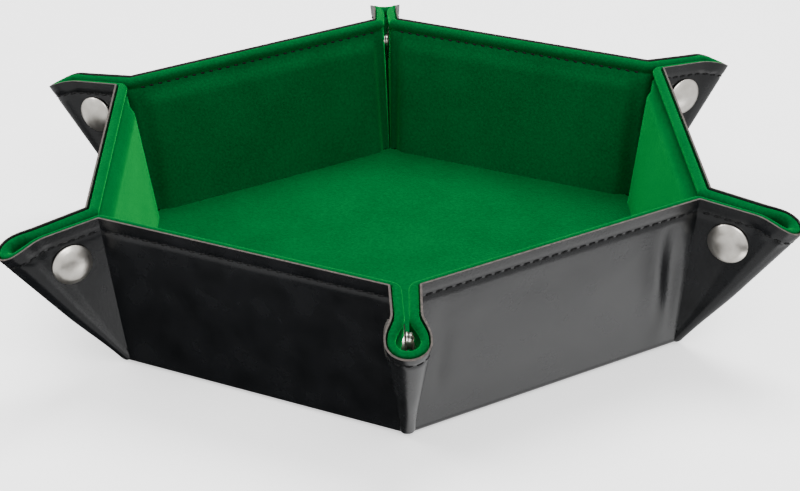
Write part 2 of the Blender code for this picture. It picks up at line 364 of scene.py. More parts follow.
def thread():
    material, tree, shader, place = finish("waxed_black_thread", Roughness=0.7, Specular_IOR_Level=0.2)
    bands = {"Vector": place, "Scale": per_mm(TWIST) / BANDS, "Distortion": 2.0}
    twist = add(tree, "ShaderNodeTexWave", bands).outputs["Fac"]
    bump = {"Strength": 0.5, "Distance": 0.1 * MM, "Height": twist}
    normal = add(tree, "ShaderNodeBump", bump).outputs["Normal"]
    drive(tree, shader, Base_Color=mixed(tree, twist, "#050505", "#141415"), Normal=normal)
    return material


def nickel():
    material, tree, shader, place = finish("satin_nickel_plate", Metallic=1.0)
    haze, fine = [
        add(tree, "ShaderNodeTexNoise", {"Vector": place, "Scale": per_mm(period), "Detail": detail})
        for period, detail in ((HAZE, 3), (BRUSH, 2))
    ]
    haze, fine = haze.outputs["Fac"], fine.outputs["Fac"]
    satin = add(tree, "ShaderNodeMapRange", {"Value": haze, "To Min": 0.24, "To Max": 0.36})
    bump = {"Strength": 0.15, "Distance": 0.02 * MM, "Height": fine}
    drive(
        tree,
        shader,
        Base_Color=mixed(tree, haze, "#d8d3ca", "#ece8e0"),
        Roughness=satin.outputs["Result"],
        Normal=add(tree, "ShaderNodeBump", bump).outputs["Normal"],
    )
    return material


THREAD_FINISH, NICKEL_FINISH = thread(), nickel()
BOARD_FINISH = flecked("grey_chipboard", 1.5, 4, ("#7c766a", "#a39c8e"), 0.3, 0.1, Roughness=0.9)
for name, node in frame["nodes"].items():
    if name.endswith("_board"):
        node.data.materials.clear()
        node.data.materials.append(BOARD_FINISH)
print(THREAD_FINISH.name, NICKEL_FINISH.name, BOARD_FINISH.name)

# %% [markdown]
# ## Closed sheets from two grids of points
# A layer of leather or velvet is two surfaces a millimetre or two apart. Both are drawn as grids of
# points, rows running up to the rim, and stitched together round their borders into one closed mesh.
# Points that coincide are joined, which also closes the velvet's rounded edges.

# %% Sheet helpers


def grid_faces(index, flip=False):
    """The quads of a grid of vertex numbers."""
    quads = np.stack([index[:-1, :-1], index[:-1, 1:], index[1:, 1:], index[1:, :-1]], axis=-1)
    quads = quads.reshape(-1, 4)
    return quads[:, ::-1] if flip else quads


def closed_sheet(low, high):
    """Points, quads and which quads are on the rim, of the solid between two grids.
    A grid whose last column lies on its first runs all the way round and has no sides."""
    rows, columns = low.shape[:2]
    bottom = np.arange(rows * columns).reshape(rows, columns)
    top = bottom + rows * columns
    rim = grid_faces(np.stack([bottom[-1], top[-1]]))
    borders = [grid_faces(np.stack([bottom[0], top[0]]), flip=True)]
    if not (np.allclose(low[:, 0], low[:, -1]) and np.allclose(high[:, 0], high[:, -1])):
        borders.append(grid_faces(np.stack([bottom[:, 0], top[:, 0]])))
        borders.append(grid_faces(np.stack([bottom[:, -1], top[:, -1]]), flip=True))
    quads = np.concatenate([grid_faces(bottom, flip=True), grid_faces(top), *borders, rim])
    on_rim = np.zeros(len(quads), bool)
    on_rim[len(quads) - len(rim) :] = True
    return np.concatenate([low.reshape(-1, 3), high.reshape(-1, 3)]), quads, on_rim


def joined(points, quads, on_rim, shares):
    """The same mesh with coinciding points made one, and quads that have collapsed left out."""
    keys = np.column_stack([np.round(points / (MM / 1000)), np.round(shares * 1e5)]).astype(np.int64)
    _, first, index = np.unique(keys, axis=0, return_index=True, return_inverse=True)
    faces, kept = [], []
    for quad, rim in zip(index.reshape(-1)[quads], on_rim):
        face = [int(v) for v, after in zip(quad, np.roll(quad, -1)) if v != after]
        if len(set(face)) >= 3 and len(set(face)) == len(face):
            faces.append(face)
            kept.append(rim)
    return points[first], faces, kept, shares[first]


def outward(points, faces):
    """The faces turned to look out of the solid."""
    volume = 0.0
    for face in faces:
        a = points[face[0]]
        for b, c in zip(face[1:], face[2:]):
            volume += a @ np.cross(points[b], points[c])
    return faces if volume > 0 else [face[::-1] for face in faces]


def placed(name, data):
    """A new object in the scene."""
    obj = bpy.data.objects.new(name, data)
    bpy.context.collection.objects.link(obj)
    return obj


def make_mesh(name, points, faces, finishes, sharp=40):
    """A shaded object of these points and faces, with its materials."""
    mesh = bpy.data.meshes.new(name)
    mesh.from_pydata([tuple(point) for point in points], [], outward(points, faces))
    for material in finishes:
        mesh.materials.append(material)
    mesh.shade_smooth()
    mesh.set_sharp_from_angle(angle=radians(sharp))
    return placed(name, mesh)


def make_sheet(name, low, high, finishes, shares=None):
    """A closed sheet; its rim wears the second finish. Returns it and each point's share."""
    points, quads, on_rim = closed_sheet(low, high)
    shares = np.zeros(low.shape[:2]) if shares is None else np.broadcast_to(shares, low.shape[:2])
    both = np.concatenate([shares.reshape(-1)] * 2)
    points, faces, kept, both = joined(points, quads, on_rim, both)
    obj = make_mesh(name, points, faces, finishes)
    if len(finishes) > 1:
        for face, rim in zip(obj.data.polygons, kept):
            face.material_index = int(rim)
    return obj, both


print("a 2 by 2 grid gives", len(closed_sheet(np.zeros((2, 2, 3)), np.ones((2, 2, 3)))[1]), "quads")

# %% [markdown]
# ## Shares across a fold
# Where a layer runs round a fold, each point is drawn turned by its own share of the turn: none on
# one side, the whole on the other. The bend helper below only sets the points for a moment on a line
# by their eased shares, bakes the object's transform, and puts them back in their places.

# %% Bend helper


def bend(obj, shares):
    """Sets each point a moment on a line by its eased share, bakes the transform, and puts it back."""
    count = len(obj.data.vertices)
    places = np.empty(count * 3)
    obj.data.vertices.foreach_get("co", places)
    eased = 0.5 - np.sin(np.arcsin(np.clip(1 - 2 * shares, -1, 1)) / 3)
    line = np.zeros((count, 3))
    line[:, 0] = eased
    obj.data.vertices.foreach_set("co", line.ravel())
    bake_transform(obj)
    obj.data.vertices.foreach_set("co", places)
    obj.data.update()


def flat_size(x, y):
    """Width, length and area of a flat grid of places, in metres."""
    grid = np.stack([x, y])
    across = grid[:, 1:, 1:] - grid[:, :-1, :-1]
    along = grid[:, 1:, :-1] - grid[:, :-1, 1:]
    area = np.abs(across[0] * along[1] - across[1] * along[0]).sum() / 2
    return float(np.ptp(x)), float(np.ptp(y)), float(area)


# %% [markdown]
# ## How thick each layer is
# The velvet's face stands 5.1 mm over the sheet where board backs it, and sinks to the leather
# where the board ends: near the rim, and along every crease. At the rim it is rounded over into a
# soft bead, and the stitching pulls it down in a shallow channel. On the outside the same stitches
# press a groove into the leather, which is pared thinner at its cut edge.

# %% Layer profiles
GROOVE_DEPTH = 0.28 * MM
VELVET_INSET = 0.35 * MM  # the velvet stops a little short of the leather's cut edge
BEAD_ROUND = 1.5 * MM  # how far in it takes to reach its full height
STITCH_INSET = 4.2 * MM  # of the seam, from the rim
RIM_ROWS = [0.35, 0.37, 0.43, 0.55, 0.75, 1.05, 1.45, 1.9, 2.5, 3.1, 3.6, 3.95, 4.2, 4.45, 4.8, 5.4]
RIM_ROWS = np.array(RIM_ROWS) * MM  # distances from the rim where the velvet's rows lie


def eased(value, start, end):
    share = np.clip((value - start) / (end - start), 0, 1)
    return share * share * (3 - 2 * share)


def bead(inset):
    """How full the velvet is at a distance in from the rim, from 0 at its edge to 1."""
    share = np.clip((inset - VELVET_INSET) / BEAD_ROUND, 0, 1)
    return np.sqrt(1 - (1 - share) ** 2)


def hump(value, middle, width, height):
    """A soft bump of this height, centred on the middle, all in metres."""
    return height * np.exp(-(((value - middle) / width) ** 2))


def groove(inset):
    """How far the outside stitches press the leather in."""
    return hump(inset, STITCH_INSET, 0.7 * MM, GROOVE_DEPTH)


def leather_thickness(inset):
    """Full over the panel, pared down at the rim."""
    return CUT_EDGE + (LEATHER - CUT_EDGE) * eased(inset, 0, 1.6 * MM)


def velvet_heights(inset, top):
    """Low and high faces of the velvet, given its distance from the rim and its full height."""
    puff = hump(inset, 2.2 * MM, 1.1 * MM, 0.35 * MM)
    channel = hump(inset, STITCH_INSET, 0.75 * MM, 0.7 * MM)
    top = top + puff - channel
    base = leather_thickness(inset)
    middle = base + 0.4 * (top - base)
    full = bead(inset)
    return middle + (base - middle) * full, middle + (top - middle) * full


def pinched_top(x):
    """The velvet's height where two layers must pass each other inside the pinch."""
    return np.minimum(PINCHED_LINING_TOP, fold_radius(np.maximum(x, FOLD_CORNER)) - 0.2 * MM)


def layer_heights(kind, inset, x):
    """Low and high faces of a corner's leather or velvet, at x out from the centre."""
    if kind == "velvet":
        return velvet_heights(inset, pinched_top(x))
    low = groove(inset) + x * 0
    return low, low + leather_thickness(inset)


print("velvet at the rim", [round(float(h) / MM, 2) for h in velvet_heights(2 * MM, 3.3 * MM)], "mm")

# %% [markdown]
# ## Floor
# The floor is a hexagon of leather, board and velvet. Its velvet is glued flat, so it is drawn as
# rings that run out from the middle, a touch fuller in the middle and rounded down at the edge.

# %% Floor leather and velvet
SIDE_STEPS = 12
VELVET_BACK = 2.9 * MM  # over the floor's board


def ring(apothem):
    """Points round a hexagon, starting at a corner, closed on itself."""
    corners = [
        np.array([cos(SECTOR * (i + 0.5)), sin(SECTOR * (i + 0.5))]) * apothem / cos(SECTOR / 2)
        for i in range(SIDES + 1)
    ]
    steps = np.linspace(0, 1, SIDE_STEPS, endpoint=False)[:, None]
    sides = [a + (b - a) * steps for a, b in zip(corners, corners[1:])]
    return np.concatenate([*sides, corners[:1]])


def hexagon_sheet(name, apothems, low, high, finishes):
    rings = np.array([ring(apothem) for apothem in apothems])
    level = np.broadcast_to
    faces = [np.dstack([rings, level(h[:, None], rings.shape[:2])]) for h in (low, high)]
    return make_sheet(name, *faces, finishes)[0]


reach = FOLD_APOTHEM - np.array([FOLD_APOTHEM, 60 * MM, 40 * MM, 20 * MM, 8 * MM, 3 * MM, 0])
still = np.zeros(len(reach))
floor_leather = hexagon_sheet("floor_outer_leather", reach, still, still + LEATHER, [LEATHER_FINISH])
edge = np.array([FOLD_APOTHEM, 62, 42, 22, 9, 4, 2, 1.2, 0.7, 0.35, 0.1, 0.0])
edge[1:] *= MM
reach = FOLD_APOTHEM - edge
crown = 0.25 * MM * eased(edge, 0, 60 * MM)
rounded = 0.9 * MM * (1 - np.sqrt(1 - (1 - np.clip(edge / (1.2 * MM), 0, 1)) ** 2))
low, high = VELVET_BACK + edge * 0, BOARDED_LINING_TOP + crown - rounded
floor_velvet = hexagon_sheet("floor_velvet", reach, low, high, [VELVET_FINISH])
for obj, node, slot in (
    (floor_leather, "floor_leather", "leather"),
    (floor_velvet, "floor_lining", "lining"),
):
    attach(obj, "floor")
    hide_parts(node)

# %% [markdown]
# ## Wall leather
# A wall's leather is glued over its board, so it is nearly flat, but never quite: it dips along the
# stitching, waves a little, and is dented where a hand has pushed a corner in. Small moves of the
# grid's points give that, and the gloss of the coat makes even a tenth of a millimetre show.

# %% Wall leather
COLUMNS = 49
LEATHER_ROWS = np.array([0, 0.25, 1.0, 2.2, 3.2, 3.8, 4.2, 4.6, 5.2, 6.4]) * MM
DEEPEST = 0.85 * MM  # a dent stays outside the velvet's back
BOARD_FACE = 1.25 * MM  # and the leather's back stays under the board


def wall_grid(insets, setback, rows=16):
    """Flat places of a wall's grid: x out from the centre, y along, and distance from the rim."""
    far = RIM_APOTHEM - insets
    near = np.linspace(FOLD_APOTHEM + setback, far[-1], rows, endpoint=False)
    x = np.concatenate([near, far[::-1]])
    half = wall_half(x)
    across = np.sin(np.linspace(-1, 1, COLUMNS) * pi / 2 * 0.92) / sin(pi / 2 * 0.92)
    return np.broadcast_to(x[:, None], (len(x), COLUMNS)), half[:, None] * across, half


def waves(number, x, y):
    """Slow unevenness of a glued layer, different in each wall."""
    seed = np.random.default_rng(40 + number)
    total = np.zeros_like(x)
    for _ in range(5):
        length, angle = seed.uniform(22, 55) * MM, seed.uniform(0, pi)
        phase = seed.uniform(0, 2 * pi)
        total += np.sin(2 * pi * (x * cos(angle) + y * sin(angle)) / length + phase)
    return total / 5


def dent(x, y, at, size, depth):
    """A soft hollow round a place, this size each way."""
    return depth * np.exp(-(((x - at[0]) / size[0]) ** 2) - ((y - at[1]) / size[1]) ** 2)


def leather_wave(number, x, y, half):
    """How far a wall's leather is pushed in, held still along its folds and rim."""
    inner = eased(half - np.abs(y), 0, 4.5 * MM) * eased(x, FOLD_APOTHEM, FOLD_APOTHEM + 7 * MM)
    inner = inner * eased(RIM_APOTHEM - x, 3 * MM, 10 * MM)
    push = 0.13 * MM * waves(number, x, y)
    if number == 6:  # the wall whose far corner is pushed in
        run = half - y - 0.14 * (x - 100 * MM)  # across a valley that leans away from the crease
        push = push + dent(x, run, (105 * MM, 5.12 * MM), (17 * MM, 3.2 * MM), 0.75 * MM)
        push = push + dent(x, run, (102 * MM, 11.56 * MM), (15 * MM, 3.4 * MM), -0.8 * MM)
        push = push + dent(x, y, (104 * MM, 7 * MM - half), (13 * MM, 3 * MM), 0.5 * MM)
    if number == 5:
        push = push + dent(x, y, (112 * MM, 41 * MM), (14 * MM, 3.5 * MM), 0.45 * MM)
    return np.minimum(push * inner, DEEPEST) + groove(RIM_APOTHEM - x)


def make_wall_leather(number):
    x, y, half = wall_grid(LEATHER_ROWS, 0)
    push = leather_wave(number, x, y, half[:, None])
    stands = standing_wall(number)
    low = carried(stands, np.dstack([x, y, push]))
    back = np.minimum(push + leather_thickness(RIM_APOTHEM - x), BOARD_FACE)
    high = carried(stands, np.dstack([x, y, back]))
    obj, _ = make_sheet(f"wall_{number}_outer_leather", low, high, [LEATHER_FINISH, EDGE_FINISH])
    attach(obj, f"wall_{number}")
    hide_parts(f"wall_{number}_leather")
    return obj, flat_size(x, y)


wall_leathers = each(make_wall_leather)
print("wall leather", [round(v / MM, 1) for v in wall_leathers[1][1][:2]], "mm")

# %% [markdown]
# ## Wall velvet
# The velvet is one more grid on the same wall, with the profile above. It starts just over the
# floor's velvet, and along each crease it sinks to the height the pinch has room for.

# %% Wall velvet
VELVET_SETBACK = 1.75 * MM


def wall_velvet_top(x, y, half):
    inset = RIM_APOTHEM - x
    to_crease = (half - np.abs(y)) * cos(SECTOR / 4)
    edge_top = pinched_top(x * cos(SECTOR / 2) + half * sin(SECTOR / 2))
    boarded = eased(inset, 5.2 * MM, 9.5 * MM) * eased(to_crease, 0.4 * MM, 5 * MM)
    return edge_top + (BOARDED_LINING_TOP - edge_top) * boarded


def make_wall_velvet(number):
    x, y, half = wall_grid(RIM_ROWS, VELVET_SETBACK, rows=22)
    top = wall_velvet_top(x, y, half[:, None])
    inner = eased(half[:, None] - np.abs(y), 2 * MM, 14 * MM) * eased(RIM_APOTHEM - x, 8 * MM, 20 * MM)
    top = top + 0.12 * MM * waves(number + 10, x, y) * inner
    low, high = velvet_heights(RIM_APOTHEM - x, top)
    stands = standing_wall(number)
    low, high = [carried(stands, np.dstack([x, y, height])) for height in (low, high)]
    obj, _ = make_sheet(f"wall_{number}_velvet", low, high, [VELVET_FINISH])
    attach(obj, f"wall_{number}")
    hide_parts(f"wall_{number}_lining")
    return obj, flat_size(x, y)


wall_velvets = each(make_wall_velvet)
print("wall velvet", [round(v / MM, 1) for v in wall_velvets[1][1][:2]], "mm")

# %% [markdown]
# ## Bottom folds
# Between the floor and a wall the leather turns a quarter circle about the fold's line. It is drawn
# as an arc whose points share the turn evenly. The velvet has a soft roll along the same line,
# which shows only when the tray is open and flat.

# %% Bottom folds
ARC_STEPS = 9


def make_bottom_fold(number):
    """The leather between floor and wall, mitred at both corners."""
    angle = fold_angle(f"wall_{number}_fold")
    share = np.linspace(0, 1, ARC_STEPS)
    across = np.linspace(-1, 1, 9)
    grids = []
    for radius in (FOLD_HEIGHT, FOLD_HEIGHT - LEATHER):
        x = FOLD_APOTHEM + radius * np.sin(share * angle)
        z = FOLD_HEIGHT - radius * np.cos(share * angle)
        y = x[:, None] * tan(SECTOR / 2) * across
        flat = np.dstack([np.broadcast_to(x[:, None], y.shape), y, np.broadcast_to(z[:, None], y.shape)])
        grids.append(carried(facing_wall(number), flat))
    obj, shares = make_sheet(f"wall_{number}_bottom_fold", *grids, [LEATHER_FINISH], share[:, None])
    bend(obj, shares)
    return obj


def make_velvet_roll(number):
    radius = BOARDED_LINING_TOP - FOLD_HEIGHT - 0.02 * MM
    ends = FOLD_CORNER * sin(SECTOR / 2) - 1.5 * MM
    around = np.linspace(0, 2 * pi, 17)
    inner, tip = np.linspace(-ends + 3 * MM, ends - 3 * MM, 7), ends - 0.4 * MM
    along = np.array([-ends, -tip, *inner, tip, ends])
    size = radius * np.array([0.3, 0.8, *[1.0] * 7, 0.8, 0.3])
    x = FOLD_APOTHEM + size[:, None] * np.cos(around)
    z = FOLD_HEIGHT + size[:, None] * np.sin(around)
    y = np.broadcast_to(along[:, None], x.shape)
    outer = carried(facing_wall(number), np.dstack([x, y, z]))
    middle = carried(facing_wall(number), np.dstack([x * 0 + FOLD_APOTHEM, y, x * 0 + FOLD_HEIGHT]))
    obj, _ = make_sheet(f"fold_{number}_velvet_roll", middle, outer, [VELVET_FINISH])
    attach(obj, "floor")
    return obj


bottom_folds = each(make_bottom_fold)
velvet_rolls = each(make_velvet_roll)
print(len(bottom_folds), "bottom folds and", len(velvet_rolls), "velvet rolls")

# %% [markdown]
# ## Pinched corners
# At a corner the spare leather and velvet fold outward into a gusset: two flaps face to face, and a
# rounded spine between them that opens into a small bulb at the rim. The spine is the part that
# makes it look like leather, not card. Its section is an arc a little wider than the flaps, joined
# to each by a hollow. Every point of that section keeps its distance from the outer fold's line,
# which says where it lies on the flat sheet and what share of the fold's turn it makes.

# %% Pinch section
TIP_FOLD = fold_angle("gusset_1_b_fold")
BULB = {number: 5.3 * MM for number in range(1, SIDES + 1)}
BULB[5] = 6.5 * MM  # one corner is pinched more loosely than the rest
TIP_REACH = float(rim_reach(0, 0))
ARC_COLUMNS, HOLLOW_COLUMNS, FLAP_COLUMNS = 11, 8, 12


def pinch_section(x, bulb):
    """Sides and shares of the spine's section, from its middle to where the flat flap begins."""
    radius = fold_radius(x)
    out = np.clip((x - FOLD_CORNER) / (TIP_REACH - FOLD_CORNER), 0, 1)
    spine = radius + max(0.06 * MM, (bulb - fold_radius(TIP_REACH)) * out**1.5)
    middle = (radius - spine) * np.array([cos(TIP_FOLD / 2), sin(TIP_FOLD / 2)])
    neck = TIP_FOLD / 2 + np.arccos(np.clip((radius - middle[0]) / spine, -1, 1))
    last = neck - radians(32 + 26 * out)
    angle = TIP_FOLD / 2 - np.linspace(0, last, ARC_COLUMNS)
    arc = middle + spine * np.column_stack([np.cos(angle), np.sin(angle)])
    leaving = np.array([sin(angle[-1]), -cos(angle[-1])])
    drop = middle[1] + spine * sin(TIP_FOLD / 2 - neck) - (0.45 + 0.75 * out) * spine
    landing = np.array([radius, drop])
    pull = 0.4 * np.linalg.norm(landing - arc[-1])
    t = np.linspace(0, 1, HOLLOW_COLUMNS + 1)[1:, None]
    knots = arc[-1], arc[-1] + leaving * pull, landing + np.array([0, pull]), landing
    weights = (1 - t) ** 3, 3 * t * (1 - t) ** 2, 3 * t**2 * (1 - t), t**3
    hollow = sum(knot * weight for knot, weight in zip(knots, weights))
    section = np.concatenate([arc, hollow])
    away = np.maximum(np.hypot(section[:, 0], section[:, 1]), radius)
    share = (np.arctan2(section[:, 1], section[:, 0]) + np.arccos(radius / away)) / TIP_FOLD
    sides = np.sqrt(away**2 - radius**2)
    share[0], sides[0], share[-1] = 0.5, 0, 0
    return sides, np.clip(share, 0, 0.5)


def pinched(number, points, shares):
    """Flat places of a corner carried to where they stand, each round the tip by its share."""
    stood = carried(standing_corner(number), points)
    fold = folds[f"gusset_{number}_b_fold"]
    at, axis = np.array(fold["pos_m"]), np.array(Vector(fold["axis"]).normalized())
    away, angle = stood - at, -np.asarray(shares)[..., None] * TIP_FOLD
    along = (away @ axis)[..., None] * axis
    return at + along + (away - along) * np.cos(angle) + np.cross(axis, away) * np.sin(angle)


for x in (FOLD_CORNER, 0.125, TIP_REACH):
    sides, _ = pinch_section(x, BULB[5])
    print("spine at", round(x / MM), "mm takes", round(sides[-1] / MM, 2), "mm of a flap")

# %% Pinch grid
TOE_ROWS = np.array([0.35, 0.75, 1.15, 1.5, 1.8, 2.0, 2.12])


def tuck(x):
    """How round the spine is: flattened where it runs down into the floor's corner."""
    return 0.62 + 0.38 * eased(x, FOLD_CORNER, FOLD_CORNER + 26 * MM)


@functools.cache
def gusset_grid(insets, bulb, toes=0, rows=12):
    """Flat places, shares and rim distances of a corner's grid, from flap a's crease to flap b's."""
    insets = np.array(insets[::-1])
    shape = (toes + rows + len(insets), ARC_COLUMNS + HOLLOW_COLUMNS + FLAP_COLUMNS)
    x, side, share, lift, scale = [np.zeros(shape) for _ in range(5)]
    for row in range(shape[0]):
        toe = max(0, toes - row)
        for column in range(shape[1]):
            here = 130 * MM
            for _ in range(6):
                sides, shares = pinch_section(here, bulb)
                if column < len(sides):
                    across, turn = sides[column], shares[column]
                else:
                    step = (column - len(sides) + 1) / FLAP_COLUMNS
                    across, turn = sides[-1] + (crease_side(here) - sides[-1]) * step, 0
                start = (FOLD_APOTHEM - across * sin(SECTOR / 2)) / cos(SECTOR / 2)
                if row >= toes + rows:
                    here = float(rim_reach(across, insets[row - toes - rows]))
                elif toe:
                    here = start
                else:
                    end = float(rim_reach(across, insets[0]))
                    here = start + (end - start) * (row - toes) / rows
            x[row, column], side[row, column], share[row, column] = here, across, turn
            lift[row, column] = fold_radius(here) * (1 - tuck(here)) * sin(pi * turn) ** 2
            scale[row, column] = 1
            if toe:
                radius = fold_radius(FOLD_CORNER)
                step = min(TOE_ROWS[toe - 1] * MM / radius, 1)
                scale[row, column] = sqrt(1 - step**2)
                x[row, column] -= step * radius
                side[row, column] *= scale[row, column]
                lift[row, column] += (fold_radius(here) - lift[row, column]) * (1 - scale[row, column])
    mirrored = [np.concatenate([a[:, :0:-1], b], axis=1) for a, b in
                ((x, x), (-side, side), (share, 1 - share), (lift, lift), (scale, scale))]
    inset = np.full(shape[0], 40 * MM)
    inset[toes + rows :] = insets
    return (*mirrored, inset)


print("gusset grid", gusset_grid((0, 4 * MM, 9 * MM), BULB[1])[0].shape)

# %% Gusset leather and velvet
SNAP_NODES = {"socket": "a", "stud": "b"}  # which flap carries each half
SNAP_HOLLOWS = {"socket": (3.4 * MM, 5.0 * MM), "stud": (5.0 * MM, 6.2 * MM)}
UNDER_SNAP = 1.2 * MM  # what the velvet is pressed down to, within the hollow's first radius


LAYERS = {  # of each kind: its slot, its finishes and its rows at the rim
    "leather": ("leather", [LEATHER_FINISH, EDGE_FINISH], LEATHER_ROWS),
    "velvet": ("lining", [VELVET_FINISH], RIM_ROWS),
}


def snap_place(number, half):
    """Flat place of a snap half in its corner's drawing."""
    node = frame["nodes"][f"snap_{number}_{half}"]
    middle = np.mean([vertex.co for vertex in node.data.vertices], axis=0)
    if half == "stud":
        middle = carried(turned(f"gusset_{number}_b_fold", 1), middle)
    return carried(standing_corner(number).inverted(), middle)


def make_gusset(number, kind):
    leather = kind == "leather"
    layer, finishes, rows = LAYERS[kind]
    insets = np.concatenate([rows, np.array([7.5, 9.0, 10.4, 12.0, 14.0]) * MM])
    toes = len(TOE_ROWS) if leather else 0  # only the leather closes the spine's foot
    x, side, share, lift, scale, inset = gusset_grid(tuple(insets), BULB[number], toes)
    low, high = layer_heights(kind, inset[:, None], x)
    for half, (near, far) in () if leather else SNAP_HOLLOWS.items():
        at = snap_place(number, half)
        sunk = 1 - eased(np.hypot(x - at[0], side - at[1]), near, far)
        high = high + (UNDER_SNAP - high) * sunk
    places = [np.dstack([x, side, lift + height * scale]) for height in (low, high)]
    grids = [pinched(number, place, share) for place in places]
    name = f"gusset_{number}_{'outer_leather' if leather else 'velvet'}"
    obj, shares = make_sheet(name, *grids, finishes, share)
    bend(obj, shares)
    for flap in "ab":
        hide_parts(f"gusset_{number}_{flap}_{layer}")
    return obj, flat_size(x, side)


gusset_leathers = each(make_gusset, "leather")
gusset_velvets = each(make_gusset, "velvet")
print("gusset", [round(v / MM, 1) for v in gusset_leathers[1][1][:2]], "mm")

# %% [markdown]
# ## Creases
# Where a wall runs into its gusset the sheet bends outward, hinging on its outer face. The inner
# side then has to open like a fan. That fan is the wall's end section turned about the crease. On
# flap a it is drawn where it stands, on no body. Flap b hangs on flap a alone, so there the fan
# stays on the next wall, and flattens against its end as the tray opens.

# %% Creases
FAN_STEPS = 7


def crease_section(insets, rows=14):
    """Flat places along a crease and their rim distances."""
    far = RIM_APOTHEM - insets[::-1]
    x = np.concatenate([np.linspace(FOLD_APOTHEM, far[0], rows, endpoint=False), far])
    return carried(TO_WALL.inverted(), np.column_stack([x, wall_half(x), x * 0])), RIM_APOTHEM - x


def make_crease(number, side, kind):
    layer, finishes, rows = LAYERS[kind]
    places, inset = crease_section(rows)
    joint = f"gusset_{number}_a_crease"
    shares = np.linspace(0, 1, FAN_STEPS)
    stands = turned(f"wall_{number}_fold", -1) @ facing_corner(number)
    grids = []
    for height in layer_heights(kind, inset, places[:, 0]):
        section = carried(stands, places + np.column_stack([height * 0, height * 0, height]))
        fan = [carried(turned(joint, -share), section) for share in shares]
        grids.append(np.stack(fan, axis=1))
    if side == "b":
        facing = facing_corner(number)
        flip = facing @ Matrix.Diagonal((1, -1, 1, 1)) @ facing.inverted()
        grids = [carried(flip, grid) for grid in grids]
    obj, both = make_sheet(f"crease_{number}_{side}_{kind}", *grids, finishes, shares[None, :])
    if side == "a":
        bend(obj, both)
        return obj
    after = number % SIDES + 1
    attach(obj, f"wall_{after}")
    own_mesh(obj)
    return obj


creases = {
    (number, side, kind): make_crease(number, side, kind)
    for number in range(1, SIDES + 1)
    for side in "ab"
    for kind in ("leather", "velvet")
}
print(len(creases), "crease pieces")

# %% [markdown]
# ## Stitching
# One row of lockstitch runs round the whole rim, about 4 mm in. Each stitch is modelled: a short
# thread that dives into its holes at both ends and leans a little, as a machine lays it. Outside
# it sits in a pressed groove. Inside the pile half swallows it.

# %% Stitches
PITCH = 3.2 * MM
STITCH_LENGTH = {"outside": 2.5 * MM, "inside": 1.8 * MM}
AROUND = np.linspace(0, 2 * pi, 6, endpoint=False)
ALONG = np.array([-1, -0.85, -0.5, 0, 0.5, 0.85, 1])
SWELL = np.array([0.3, 0.8, 1, 1.05, 1, 0.8, 0.3])


def stitch(length, outward_sign):
    """Along, sideways and height of one stitch's points, from its middle on the surface."""
    dive = 0.3 * MM * ALONG**4
    along = np.repeat(ALONG * length / 2, len(AROUND)).reshape(len(ALONG), -1)
    sideways = 0.34 * MM * SWELL[:, None] * np.cos(AROUND) + (0.14 * MM * ALONG)[:, None]
    height = 0.26 * MM * SWELL[:, None] * np.sin(AROUND) + (0.08 * MM - dive)[:, None]
    return along, sideways, outward_sign * height


def stitch_faces(offset):
    index = np.arange(len(ALONG) * len(AROUND)).reshape(len(ALONG), len(AROUND)) + offset
    wrapped = np.column_stack([index, index[:, 0]])
    faces = [list(map(int, quad)) for quad in grid_faces(wrapped)]
    return [*faces, [int(v) for v in index[0][::-1]], [int(v) for v in index[-1]]]


def make_stitches(name, length, place):
    """A row of stitches; place turns along, sideways, height and face into points and shares."""
    points, shares, faces = [], [], []
    count = int((length - 0.6 * MM) / PITCH)
    first = (length - (count - 1) * PITCH) / 2
    for side, sign in (("outside", -1), ("inside", 1)):
        for number in range(count):
            along, sideways, height = stitch(STITCH_LENGTH[side], sign)
            spots, turn = place(along + first + number * PITCH, sideways, height, side)
            faces += stitch_faces(sum(len(p) for p in points))
            points.append(spots.reshape(-1, 3))
            shares.append(turn.reshape(-1))
    obj = make_mesh(name, np.concatenate(points), faces, [THREAD_FINISH], sharp=80)
    return obj, np.concatenate(shares), count


def wall_stitches(number):
    x_stitch = np.array([RIM_APOTHEM - STITCH_INSET])
    _, _, half = wall_grid(np.array([STITCH_INSET, STITCH_INSET + MM]), 0)
    half = float(half[-1])

    def place(along, sideways, height, side):
        y, x = along - half, x_stitch + sideways
        if side == "outside":
            base = leather_wave(number, x, y, half)
        else:
            base = velvet_heights(RIM_APOTHEM - x, wall_velvet_top(x, y, half))[1] - 0.1 * MM
        flat = np.dstack([x, y, base + height])
        return carried(standing_wall(number), flat), along * 0

    obj, _, count = make_stitches(f"wall_{number}_stitches", 2 * half, place)
    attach(obj, f"wall_{number}")
    return obj, count


def gusset_stitches(number):
    bulb = BULB[number]
    x, side, share, *_ = gusset_grid((STITCH_INSET, STITCH_INSET + MM), bulb)
    path = np.column_stack([x[-1], side[-1], share[-1]])
    stood = pinched(number, np.column_stack([path[:, :2], path[:, 0] * 0]), path[:, 2])
    run = np.concatenate([[0], np.cumsum(np.linalg.norm(np.diff(stood, axis=0), axis=1))])

    def place(along, sideways, height, face):
        x, y, turn = [np.interp(along, run, path[:, i]) for i in range(3)]
        lean = np.clip(y / (SHEET_CORNER_RADIUS - STITCH_INSET), -1, 1)
        angle = np.clip(np.arcsin(lean), -SECTOR / 2, SECTOR / 2)
        if face == "outside":
            base = GROOVE_DEPTH + x * 0
        else:
            base = velvet_heights(STITCH_INSET - sideways, pinched_top(x))[1] - 0.1 * MM
        flat = np.dstack([x + sideways * np.cos(angle), y + sideways * np.sin(angle), base + height])
        return pinched(number, flat, turn), turn

    obj, shares, count = make_stitches(f"gusset_{number}_stitches", float(run[-1]), place)
    bend(obj, shares)
    return obj, count


